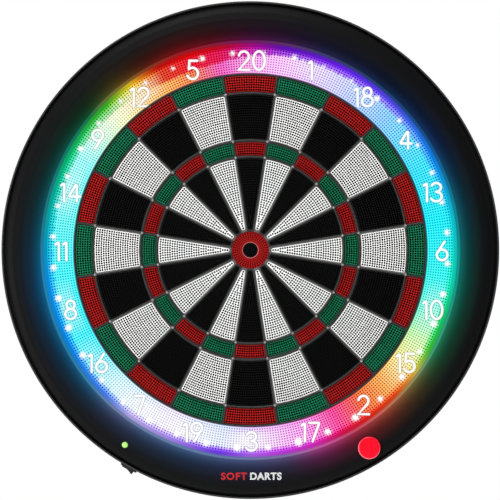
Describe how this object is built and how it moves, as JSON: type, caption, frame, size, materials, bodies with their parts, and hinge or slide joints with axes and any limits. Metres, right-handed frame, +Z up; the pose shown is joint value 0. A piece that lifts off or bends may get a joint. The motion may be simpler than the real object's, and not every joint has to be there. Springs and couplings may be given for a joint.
{
  "type": "electronic dartboard",
  "caption": "Round wall-hung electronic dartboard: sprung perforated target segments in a web, inside a number ring lit from behind, a clear light guide and a black bezel.",
  "frame": {"origin": "centre of the flat round back that lies on the wall, on the axis of the bull", "axes": "+Y points into the wall, so the target faces -Y; +Z is up, towards number 20; +X is to the right seen from the front"},
  "size_m": [0.5572, 0.0438, 0.5572],
  "materials": {
    "case_black": "satin moulded, fine grain",
    "web_grey": "satin moulded",
    "segment_black": "matte moulded, perforated",
    "segment_white": "matte moulded, perforated",
    "segment_red": "matte moulded, perforated",
    "segment_green": "matte moulded, perforated",
    "lit_diffuser": "translucent, lit from behind",
    "light_guide": "clear acrylic, lit from its edge",
    "circuit_board": "solder mask",
    "board_white": "white solder mask",
    "mat_rubber": "matte",
    "membrane_film": "printed film",
    "fibre_board": "pressed board",
    "button_red": "semi-gloss moulded",
    "led_lens": "clear, lit",
    "switch_black": "satin moulded",
    "steel": "zinc plated"
  },
  "bodies": {
    "case": {"rear_housing": "case_black", "front_bezel": "case_black", "light_guide_ring": "light_guide", "number_ring": "lit_diffuser", "led_board": "board_white", "web": "web_grey", "rubber_mat": "mat_rubber", "switch_membrane": "membrane_film", "backing_board": "fibre_board", "main_board": "circuit_board", "button_switch": "switch_black", "button_spring": "steel", "power_led_lens": "led_lens", "power_switch_body": "switch_black", "power_inlet": "switch_black", "hanger_plate": "steel"},
    "button": {"button_cap": "button_red"},
    "power_rocker": {"power_switch_rocker": "switch_black"},
    "inner_bull": {"inner_bull": "segment_black"},
    "outer_bull": {"outer_bull": "segment_red"},
    "double_and_outer_single_20": {"double_and_outer_single_20": "segment_black"},
    "triple_and_inner_single_20": {"triple_and_inner_single_20": "segment_black"},
    "double_and_outer_single_01": {"double_and_outer_single_01": "segment_white"},
    "triple_and_inner_single_01": {"triple_and_inner_single_01": "segment_white"},
    "double_and_outer_single_18": {"double_and_outer_single_18": "segment_black"},
    "triple_and_inner_single_18": {"triple_and_inner_single_18": "segment_black"},
    "double_and_outer_single_04": {"double_and_outer_single_04": "segment_white"},
    "triple_and_inner_single_04": {"triple_and_inner_single_04": "segment_white"},
    "double_and_outer_single_13": {"double_and_outer_single_13": "segment_black"},
    "triple_and_inner_single_13": {"triple_and_inner_single_13": "segment_black"},
    "double_and_outer_single_06": {"double_and_outer_single_06": "segment_white"},
    "triple_and_inner_single_06": {"triple_and_inner_single_06": "segment_white"},
    "double_and_outer_single_10": {"double_and_outer_single_10": "segment_black"},
    "triple_and_inner_single_10": {"triple_and_inner_single_10": "segment_black"},
    "double_and_outer_single_15": {"double_and_outer_single_15": "segment_white"},
    "triple_and_inner_single_15": {"triple_and_inner_single_15": "segment_white"},
    "double_and_outer_single_02": {"double_and_outer_single_02": "segment_black"},
    "triple_and_inner_single_02": {"triple_and_inner_single_02": "segment_black"},
    "double_and_outer_single_17": {"double_and_outer_single_17": "segment_white"},
    "triple_and_inner_single_17": {"triple_and_inner_single_17": "segment_white"},
    "double_and_outer_single_03": {"double_and_outer_single_03": "segment_black"},
    "triple_and_inner_single_03": {"triple_and_inner_single_03": "segment_black"},
    "double_and_outer_single_19": {"double_and_outer_single_19": "segment_white"},
    "triple_and_inner_single_19": {"triple_and_inner_single_19": "segment_white"},
    "double_and_outer_single_07": {"double_and_outer_single_07": "segment_black"},
    "triple_and_inner_single_07": {"triple_and_inner_single_07": "segment_black"},
    "double_and_outer_single_16": {"double_and_outer_single_16": "segment_white"},
    "triple_and_inner_single_16": {"triple_and_inner_single_16": "segment_white"},
    "double_and_outer_single_08": {"double_and_outer_single_08": "segment_black"},
    "triple_and_inner_single_08": {"triple_and_inner_single_08": "segment_black"},
    "double_and_outer_single_11": {"double_and_outer_single_11": "segment_white"},
    "triple_and_inner_single_11": {"triple_and_inner_single_11": "segment_white"},
    "double_and_outer_single_14": {"double_and_outer_single_14": "segment_black"},
    "triple_and_inner_single_14": {"triple_and_inner_single_14": "segment_black"},
    "double_and_outer_single_09": {"double_and_outer_single_09": "segment_white"},
    "triple_and_inner_single_09": {"triple_and_inner_single_09": "segment_white"},
    "double_and_outer_single_12": {"double_and_outer_single_12": "segment_black"},
    "triple_and_inner_single_12": {"triple_and_inner_single_12": "segment_black"},
    "double_and_outer_single_05": {"double_and_outer_single_05": "segment_white"},
    "triple_and_inner_single_05": {"triple_and_inner_single_05": "segment_white"}
  },
  "joints": [
    {"name": "button_press", "type": "slide", "parent": "case", "child": "button", "axis": [0, 1, 0], "range_m": [0, 0.002], "stiffness_N_per_m": 500, "deforming": ["button_spring"]},
    {"name": "power_rock", "type": "hinge", "parent": "case", "child": "power_rocker", "pos_m": [-0.13645, -0.0225, -0.24416], "axis": [0, 1, 0], "range_deg": [-23, 0]},
    {"name": "press_inner_bull", "type": "slide", "parent": "case", "child": "inner_bull", "axis": [0, 1, 0], "range_m": [0, 0.0012], "stiffness_N_per_m": 800},
    {"name": "press_outer_bull", "type": "slide", "parent": "case", "child": "outer_bull", "axis": [0, 1, 0], "range_m": [0, 0.0012], "stiffness_N_per_m": 800},
    {"name": "press_double_and_outer_single_20", "type": "slide", "parent": "case", "child": "double_and_outer_single_20", "axis": [0, 1, 0], "range_m": [0, 0.0012], "stiffness_N_per_m": 800},
    {"name": "press_triple_and_inner_single_20", "type": "slide", "parent": "case", "child": "triple_and_inner_single_20", "axis": [0, 1, 0], "range_m": [0, 0.0012], "stiffness_N_per_m": 800},
    {"name": "press_double_and_outer_single_01", "type": "slide", "parent": "case", "child": "double_and_outer_single_01", "axis": [0, 1, 0], "range_m": [0, 0.0012], "stiffness_N_per_m": 800},
    {"name": "press_triple_and_inner_single_01", "type": "slide", "parent": "case", "child": "triple_and_inner_single_01", "axis": [0, 1, 0], "range_m": [0, 0.0012], "stiffness_N_per_m": 800},
    {"name": "press_double_and_outer_single_18", "type": "slide", "parent": "case", "child": "double_and_outer_single_18", "axis": [0, 1, 0], "range_m": [0, 0.0012], "stiffness_N_per_m": 800},
    {"name": "press_triple_and_inner_single_18", "type": "slide", "parent": "case", "child": "triple_and_inner_single_18", "axis": [0, 1, 0], "range_m": [0, 0.0012], "stiffness_N_per_m": 800},
    {"name": "press_double_and_outer_single_04", "type": "slide", "parent": "case", "child": "double_and_outer_single_04", "axis": [0, 1, 0], "range_m": [0, 0.0012], "stiffness_N_per_m": 800},
    {"name": "press_triple_and_inner_single_04", "type": "slide", "parent": "case", "child": "triple_and_inner_single_04", "axis": [0, 1, 0], "range_m": [0, 0.0012], "stiffness_N_per_m": 800},
    {"name": "press_double_and_outer_single_13", "type": "slide", "parent": "case", "child": "double_and_outer_single_13", "axis": [0, 1, 0], "range_m": [0, 0.0012], "stiffness_N_per_m": 800},
    {"name": "press_triple_and_inner_single_13", "type": "slide", "parent": "case", "child": "triple_and_inner_single_13", "axis": [0, 1, 0], "range_m": [0, 0.0012], "stiffness_N_per_m": 800},
    {"name": "press_double_and_outer_single_06", "type": "slide", "parent": "case", "child": "double_and_outer_single_06", "axis": [0, 1, 0], "range_m": [0, 0.0012], "stiffness_N_per_m": 800},
    {"name": "press_triple_and_inner_single_06", "type": "slide", "parent": "case", "child": "triple_and_inner_single_06", "axis": [0, 1, 0], "range_m": [0, 0.0012], "stiffness_N_per_m": 800},
    {"name": "press_double_and_outer_single_10", "type": "slide", "parent": "case", "child": "double_and_outer_single_10", "axis": [0, 1, 0], "range_m": [0, 0.0012], "stiffness_N_per_m": 800},
    {"name": "press_triple_and_inner_single_10", "type": "slide", "parent": "case", "child": "triple_and_inner_single_10", "axis": [0, 1, 0], "range_m": [0, 0.0012], "stiffness_N_per_m": 800},
    {"name": "press_double_and_outer_single_15", "type": "slide", "parent": "case", "child": "double_and_outer_single_15", "axis": [0, 1, 0], "range_m": [0, 0.0012], "stiffness_N_per_m": 800},
    {"name": "press_triple_and_inner_single_15", "type": "slide", "parent": "case", "child": "triple_and_inner_single_15", "axis": [0, 1, 0], "range_m": [0, 0.0012], "stiffness_N_per_m": 800},
    {"name": "press_double_and_outer_single_02", "type": "slide", "parent": "case", "child": "double_and_outer_single_02", "axis": [0, 1, 0], "range_m": [0, 0.0012], "stiffness_N_per_m": 800},
    {"name": "press_triple_and_inner_single_02", "type": "slide", "parent": "case", "child": "triple_and_inner_single_02", "axis": [0, 1, 0], "range_m": [0, 0.0012], "stiffness_N_per_m": 800},
    {"name": "press_double_and_outer_single_17", "type": "slide", "parent": "case", "child": "double_and_outer_single_17", "axis": [0, 1, 0], "range_m": [0, 0.0012], "stiffness_N_per_m": 800},
    {"name": "press_triple_and_inner_single_17", "type": "slide", "parent": "case", "child": "triple_and_inner_single_17", "axis": [0, 1, 0], "range_m": [0, 0.0012], "stiffness_N_per_m": 800},
    {"name": "press_double_and_outer_single_03", "type": "slide", "parent": "case", "child": "double_and_outer_single_03", "axis": [0, 1, 0], "range_m": [0, 0.0012], "stiffness_N_per_m": 800},
    {"name": "press_triple_and_inner_single_03", "type": "slide", "parent": "case", "child": "triple_and_inner_single_03", "axis": [0, 1, 0], "range_m": [0, 0.0012], "stiffness_N_per_m": 800},
    {"name": "press_double_and_outer_single_19", "type": "slide", "parent": "case", "child": "double_and_outer_single_19", "axis": [0, 1, 0], "range_m": [0, 0.0012], "stiffness_N_per_m": 800},
    {"name": "press_triple_and_inner_single_19", "type": "slide", "parent": "case", "child": "triple_and_inner_single_19", "axis": [0, 1, 0], "range_m": [0, 0.0012], "stiffness_N_per_m": 800},
    {"name": "press_double_and_outer_single_07", "type": "slide", "parent": "case", "child": "double_and_outer_single_07", "axis": [0, 1, 0], "range_m": [0, 0.0012], "stiffness_N_per_m": 800},
    {"name": "press_triple_and_inner_single_07", "type": "slide", "parent": "case", "child": "triple_and_inner_single_07", "axis": [0, 1, 0], "range_m": [0, 0.0012], "stiffness_N_per_m": 800},
    {"name": "press_double_and_outer_single_16", "type": "slide", "parent": "case", "child": "double_and_outer_single_16", "axis": [0, 1, 0], "range_m": [0, 0.0012], "stiffness_N_per_m": 800},
    {"name": "press_triple_and_inner_single_16", "type": "slide", "parent": "case", "child": "triple_and_inner_single_16", "axis": [0, 1, 0], "range_m": [0, 0.0012], "stiffness_N_per_m": 800},
    {"name": "press_double_and_outer_single_08", "type": "slide", "parent": "case", "child": "double_and_outer_single_08", "axis": [0, 1, 0], "range_m": [0, 0.0012], "stiffness_N_per_m": 800},
    {"name": "press_triple_and_inner_single_08", "type": "slide", "parent": "case", "child": "triple_and_inner_single_08", "axis": [0, 1, 0], "range_m": [0, 0.0012], "stiffness_N_per_m": 800},
    {"name": "press_double_and_outer_single_11", "type": "slide", "parent": "case", "child": "double_and_outer_single_11", "axis": [0, 1, 0], "range_m": [0, 0.0012], "stiffness_N_per_m": 800},
    {"name": "press_triple_and_inner_single_11", "type": "slide", "parent": "case", "child": "triple_and_inner_single_11", "axis": [0, 1, 0], "range_m": [0, 0.0012], "stiffness_N_per_m": 800},
    {"name": "press_double_and_outer_single_14", "type": "slide", "parent": "case", "child": "double_and_outer_single_14", "axis": [0, 1, 0], "range_m": [0, 0.0012], "stiffness_N_per_m": 800},
    {"name": "press_triple_and_inner_single_14", "type": "slide", "parent": "case", "child": "triple_and_inner_single_14", "axis": [0, 1, 0], "range_m": [0, 0.0012], "stiffness_N_per_m": 800},
    {"name": "press_double_and_outer_single_09", "type": "slide", "parent": "case", "child": "double_and_outer_single_09", "axis": [0, 1, 0], "range_m": [0, 0.0012], "stiffness_N_per_m": 800},
    {"name": "press_triple_and_inner_single_09", "type": "slide", "parent": "case", "child": "triple_and_inner_single_09", "axis": [0, 1, 0], "range_m": [0, 0.0012], "stiffness_N_per_m": 800},
    {"name": "press_double_and_outer_single_12", "type": "slide", "parent": "case", "child": "double_and_outer_single_12", "axis": [0, 1, 0], "range_m": [0, 0.0012], "stiffness_N_per_m": 800},
    {"name": "press_triple_and_inner_single_12", "type": "slide", "parent": "case", "child": "triple_and_inner_single_12", "axis": [0, 1, 0], "range_m": [0, 0.0012], "stiffness_N_per_m": 800},
    {"name": "press_double_and_outer_single_05", "type": "slide", "parent": "case", "child": "double_and_outer_single_05", "axis": [0, 1, 0], "range_m": [0, 0.0012], "stiffness_N_per_m": 800},
    {"name": "press_triple_and_inner_single_05", "type": "slide", "parent": "case", "child": "triple_and_inner_single_05", "axis": [0, 1, 0], "range_m": [0, 0.0012], "stiffness_N_per_m": 800}
  ]
}
